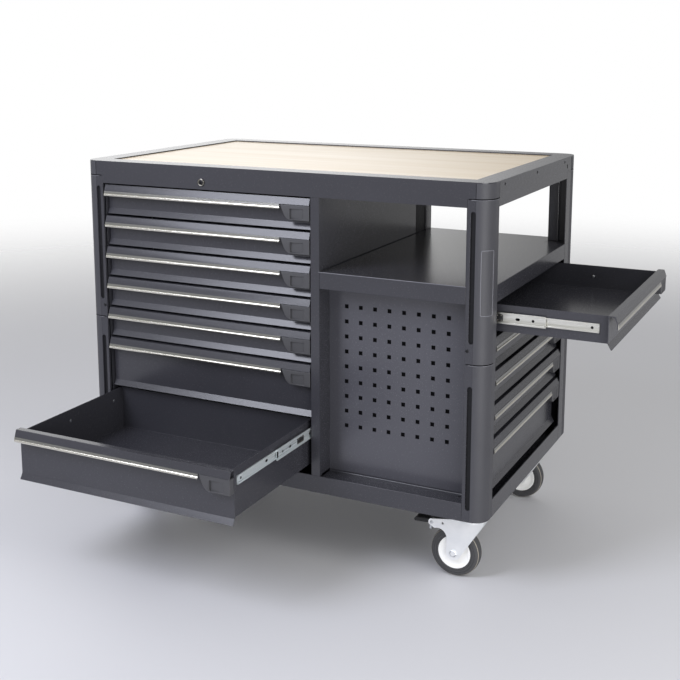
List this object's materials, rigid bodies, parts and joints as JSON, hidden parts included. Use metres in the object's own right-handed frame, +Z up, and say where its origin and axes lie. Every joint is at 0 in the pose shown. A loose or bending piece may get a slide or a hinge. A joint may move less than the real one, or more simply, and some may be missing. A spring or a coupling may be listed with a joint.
{
  "type": "mobile workbench",
  "caption": "Steel workbench on swivel casters with an inset plywood top, front and side drawers with pull lips, an open shelf bay and a perforated tool panel.",
  "frame": {"origin": "on the floor under the middle of the box that holds the bench with its two open drawers", "axes": "+X to the right along the front, +Y to the back, +Z up"},
  "size_m": [1.397, 1.099, 0.982],
  "materials": {
    "anthracite_paint": "satin anthracite powder coat",
    "birch_plywood": "clear lacquered pale plywood",
    "zinc_plate": "bright zinc plate",
    "grey_plastic": "fine textured dark grey plastic",
    "grey_rubber": "matte dark grey rubber",
    "black_plastic": "black moulded plastic",
    "nickel_brass": "nickel plate"
  },
  "bodies": {
    "cabinet": {"worktop_board": "birch_plywood", "top_frame": "anthracite_paint", "base_tray": "anthracite_paint", "left_side_panel": "anthracite_paint", "divider_wall": "anthracite_paint", "back_panel": "anthracite_paint", "shelf_tray": "anthracite_paint", "perforated_panel": "anthracite_paint", "front_left_post": "anthracite_paint", "front_right_post": "anthracite_paint", "rear_left_post": "anthracite_paint", "rear_right_post": "anthracite_paint", "lock_barrel": "nickel_brass"},
    "lock_core": {"lock_core": "nickel_brass"},
    "front_drawer_1": {"front_drawer_1": "anthracite_paint"},
    "front_latch_1": {"front_latch_1": "grey_plastic"},
    "front_drawer_2": {"front_drawer_2": "anthracite_paint"},
    "front_latch_2": {"front_latch_2": "grey_plastic"},
    "front_drawer_3": {"front_drawer_3": "anthracite_paint"},
    "front_latch_3": {"front_latch_3": "grey_plastic"},
    "front_drawer_4": {"front_drawer_4": "anthracite_paint"},
    "front_latch_4": {"front_latch_4": "grey_plastic"},
    "front_drawer_5": {"front_drawer_5": "anthracite_paint"},
    "front_latch_5": {"front_latch_5": "grey_plastic"},
    "front_drawer_6": {"front_drawer_6": "anthracite_paint"},
    "front_latch_6": {"front_latch_6": "grey_plastic"},
    "front_middle_slides_7": {"front_middle_slide_7_left": "zinc_plate", "front_middle_slide_7_right": "zinc_plate"},
    "front_drawer_7": {"front_drawer_7": "anthracite_paint", "front_drawer_slide_7_left": "zinc_plate", "front_drawer_slide_7_right": "zinc_plate"},
    "front_latch_7": {"front_latch_7": "grey_plastic"},
    "side_middle_slides_1": {"side_middle_slide_1_left": "zinc_plate", "side_middle_slide_1_right": "zinc_plate"},
    "side_drawer_1": {"side_drawer_1": "anthracite_paint", "side_drawer_slide_1_left": "zinc_plate", "side_drawer_slide_1_right": "zinc_plate"},
    "side_latch_1": {"side_latch_1": "grey_plastic"},
    "side_drawer_2": {"side_drawer_2": "anthracite_paint"},
    "side_latch_2": {"side_latch_2": "grey_plastic"},
    "side_drawer_3": {"side_drawer_3": "anthracite_paint"},
    "side_latch_3": {"side_latch_3": "grey_plastic"},
    "side_drawer_4": {"side_drawer_4": "anthracite_paint"},
    "side_latch_4": {"side_latch_4": "grey_plastic"},
    "side_drawer_5": {"side_drawer_5": "anthracite_paint"},
    "side_latch_5": {"side_latch_5": "grey_plastic"},
    "front_left_fork": {"front_left_fork": "zinc_plate"},
    "front_left_wheel": {"front_left_hub": "zinc_plate", "front_left_tyre": "grey_rubber"},
    "front_left_pedal": {"front_left_pedal": "black_plastic"},
    "front_right_fork": {"front_right_fork": "zinc_plate"},
    "front_right_wheel": {"front_right_hub": "zinc_plate", "front_right_tyre": "grey_rubber"},
    "front_right_pedal": {"front_right_pedal": "black_plastic"},
    "rear_left_fork": {"rear_left_fork": "zinc_plate"},
    "rear_left_wheel": {"rear_left_hub": "zinc_plate", "rear_left_tyre": "grey_rubber"},
    "rear_right_fork": {"rear_right_fork": "zinc_plate"},
    "rear_right_wheel": {"rear_right_hub": "zinc_plate", "rear_right_tyre": "grey_rubber"}
  },
  "joints": [
    {"name": "lock_turn", "type": "hinge", "parent": "cabinet", "child": "lock_core", "pos_m": [-0.335, -0.1745, 0.942], "axis": [0, 1, 0], "range_deg": [0, 90]},
    {"name": "front_drawer_1_pull", "type": "slide", "parent": "cabinet", "child": "front_drawer_1", "axis": [0, -1, 0], "range_m": [0, 0.375]},
    {"name": "front_latch_1_lift", "type": "hinge", "parent": "front_drawer_1", "child": "front_latch_1", "pos_m": [-0.0715, -0.1745, 0.9017], "axis": [-1, 0, 0], "range_deg": [0, 22], "stiffness_Nm_per_rad": 0.3, "springref_deg": -11.46},
    {"name": "front_drawer_2_pull", "type": "slide", "parent": "cabinet", "child": "front_drawer_2", "axis": [0, -1, 0], "range_m": [0, 0.375]},
    {"name": "front_latch_2_lift", "type": "hinge", "parent": "front_drawer_2", "child": "front_latch_2", "pos_m": [-0.0715, -0.1745, 0.8192], "axis": [-1, 0, 0], "range_deg": [0, 22], "stiffness_Nm_per_rad": 0.3, "springref_deg": -11.46},
    {"name": "front_drawer_3_pull", "type": "slide", "parent": "cabinet", "child": "front_drawer_3", "axis": [0, -1, 0], "range_m": [0, 0.375]},
    {"name": "front_latch_3_lift", "type": "hinge", "parent": "front_drawer_3", "child": "front_latch_3", "pos_m": [-0.0715, -0.1745, 0.7367], "axis": [-1, 0, 0], "range_deg": [0, 22], "stiffness_Nm_per_rad": 0.3, "springref_deg": -11.46},
    {"name": "front_drawer_4_pull", "type": "slide", "parent": "cabinet", "child": "front_drawer_4", "axis": [0, -1, 0], "range_m": [0, 0.375]},
    {"name": "front_latch_4_lift", "type": "hinge", "parent": "front_drawer_4", "child": "front_latch_4", "pos_m": [-0.0715, -0.1745, 0.6542], "axis": [-1, 0, 0], "range_deg": [0, 22], "stiffness_Nm_per_rad": 0.3, "springref_deg": -11.46},
    {"name": "front_drawer_5_pull", "type": "slide", "parent": "cabinet", "child": "front_drawer_5", "axis": [0, -1, 0], "range_m": [0, 0.375]},
    {"name": "front_latch_5_lift", "type": "hinge", "parent": "front_drawer_5", "child": "front_latch_5", "pos_m": [-0.0715, -0.1745, 0.5717], "axis": [-1, 0, 0], "range_deg": [0, 22], "stiffness_Nm_per_rad": 0.3, "springref_deg": -11.46},
    {"name": "front_drawer_6_pull", "type": "slide", "parent": "cabinet", "child": "front_drawer_6", "axis": [0, -1, 0], "range_m": [0, 0.375]},
    {"name": "front_latch_6_lift", "type": "hinge", "parent": "front_drawer_6", "child": "front_latch_6", "pos_m": [-0.0715, -0.1745, 0.4892], "axis": [-1, 0, 0], "range_deg": [0, 22], "stiffness_Nm_per_rad": 0.3, "springref_deg": -11.46},
    {"name": "front_drawer_7_pull", "type": "slide", "parent": "cabinet", "child": "front_drawer_7", "axis": [0, -1, 0], "range_m": [-0.375, 0]},
    {"name": "front_middle_slides_7_pull", "type": "slide", "parent": "cabinet", "child": "front_middle_slides_7", "axis": [0, -1, 0], "range_m": [-0.1875, 0]},
    {"name": "front_latch_7_lift", "type": "hinge", "parent": "front_drawer_7", "child": "front_latch_7", "pos_m": [-0.0715, -0.5495, 0.3492], "axis": [-1, 0, 0], "range_deg": [0, 22], "stiffness_Nm_per_rad": 0.3, "springref_deg": -11.46},
    {"name": "side_drawer_1_pull", "type": "slide", "parent": "cabinet", "child": "side_drawer_1", "axis": [1, 0, 0], "range_m": [-0.275, 0.1]},
    {"name": "side_middle_slides_1_pull", "type": "slide", "parent": "cabinet", "child": "side_middle_slides_1", "axis": [1, 0, 0], "range_m": [-0.1375, 0.05]},
    {"name": "side_latch_1_lift", "type": "hinge", "parent": "side_drawer_1", "child": "side_latch_1", "pos_m": [0.6985, 0.4115, 0.6807], "axis": [0, -1, 0], "range_deg": [0, 22], "stiffness_Nm_per_rad": 0.3, "springref_deg": -11.46},
    {"name": "side_drawer_2_pull", "type": "slide", "parent": "cabinet", "child": "side_drawer_2", "axis": [1, 0, 0], "range_m": [0, 0.375]},
    {"name": "side_latch_2_lift", "type": "hinge", "parent": "side_drawer_2", "child": "side_latch_2", "pos_m": [0.4235, 0.4115, 0.59794], "axis": [0, -1, 0], "range_deg": [0, 22], "stiffness_Nm_per_rad": 0.3, "springref_deg": -11.46},
    {"name": "side_drawer_3_pull", "type": "slide", "parent": "cabinet", "child": "side_drawer_3", "axis": [1, 0, 0], "range_m": [0, 0.375]},
    {"name": "side_latch_3_lift", "type": "hinge", "parent": "side_drawer_3", "child": "side_latch_3", "pos_m": [0.4235, 0.4115, 0.51517], "axis": [0, -1, 0], "range_deg": [0, 22], "stiffness_Nm_per_rad": 0.3, "springref_deg": -11.46},
    {"name": "side_drawer_4_pull", "type": "slide", "parent": "cabinet", "child": "side_drawer_4", "axis": [1, 0, 0], "range_m": [0, 0.375]},
    {"name": "side_latch_4_lift", "type": "hinge", "parent": "side_drawer_4", "child": "side_latch_4", "pos_m": [0.4235, 0.4115, 0.43241], "axis": [0, -1, 0], "range_deg": [0, 22], "stiffness_Nm_per_rad": 0.3, "springref_deg": -11.46},
    {"name": "side_drawer_5_pull", "type": "slide", "parent": "cabinet", "child": "side_drawer_5", "axis": [1, 0, 0], "range_m": [0, 0.375]},
    {"name": "side_latch_5_lift", "type": "hinge", "parent": "side_drawer_5", "child": "side_latch_5", "pos_m": [0.4235, 0.4115, 0.34965], "axis": [0, -1, 0], "range_deg": [0, 22], "stiffness_Nm_per_rad": 0.3, "springref_deg": -11.46},
    {"name": "front_left_swivel", "type": "hinge", "parent": "cabinet", "child": "front_left_fork", "pos_m": [-0.636, -0.0795, 0.152], "axis": [0, 0, 1], "continuous": true},
    {"name": "front_left_roll", "type": "hinge", "parent": "front_left_fork", "child": "front_left_wheel", "pos_m": [-0.598, -0.0795, 0.0625], "axis": [0, 1, 0], "continuous": true},
    {"name": "front_left_brake", "type": "hinge", "parent": "front_left_fork", "child": "front_left_pedal", "pos_m": [-0.541, -0.0795, 0.1324], "axis": [0, 1, 0], "range_deg": [0, 12], "stiffness_Nm_per_rad": 1, "springref_deg": -8.59},
    {"name": "front_right_swivel", "type": "hinge", "parent": "cabinet", "child": "front_right_fork", "pos_m": [0.361, -0.0795, 0.152], "axis": [0, 0, 1], "continuous": true},
    {"name": "front_right_roll", "type": "hinge", "parent": "front_right_fork", "child": "front_right_wheel", "pos_m": [0.323, -0.0795, 0.0625], "axis": [0, 1, 0], "continuous": true},
    {"name": "front_right_brake", "type": "hinge", "parent": "front_right_fork", "child": "front_right_pedal", "pos_m": [0.266, -0.0795, 0.1324], "axis": [0, -1, 0], "range_deg": [0, 12], "stiffness_Nm_per_rad": 1, "springref_deg": -8.59},
    {"name": "rear_left_swivel", "type": "hinge", "parent": "cabinet", "child": "rear_left_fork", "pos_m": [-0.636, 0.4545, 0.152], "axis": [0, 0, 1], "continuous": true},
    {"name": "rear_left_roll", "type": "hinge", "parent": "rear_left_fork", "child": "rear_left_wheel", "pos_m": [-0.598, 0.4545, 0.0625], "axis": [0, 1, 0], "continuous": true},
    {"name": "rear_right_swivel", "type": "hinge", "parent": "cabinet", "child": "rear_right_fork", "pos_m": [0.361, 0.4545, 0.152], "axis": [0, 0, 1], "continuous": true},
    {"name": "rear_right_roll", "type": "hinge", "parent": "rear_right_fork", "child": "rear_right_wheel", "pos_m": [0.323, 0.4545, 0.0625], "axis": [0, 1, 0], "continuous": true}
  ],
  "couplings": [
    {"joint": "front_middle_slides_7_pull", "follows": "front_drawer_7_pull", "ratio": 0.5},
    {"joint": "side_middle_slides_1_pull", "follows": "side_drawer_1_pull", "ratio": 0.5}
  ]
}
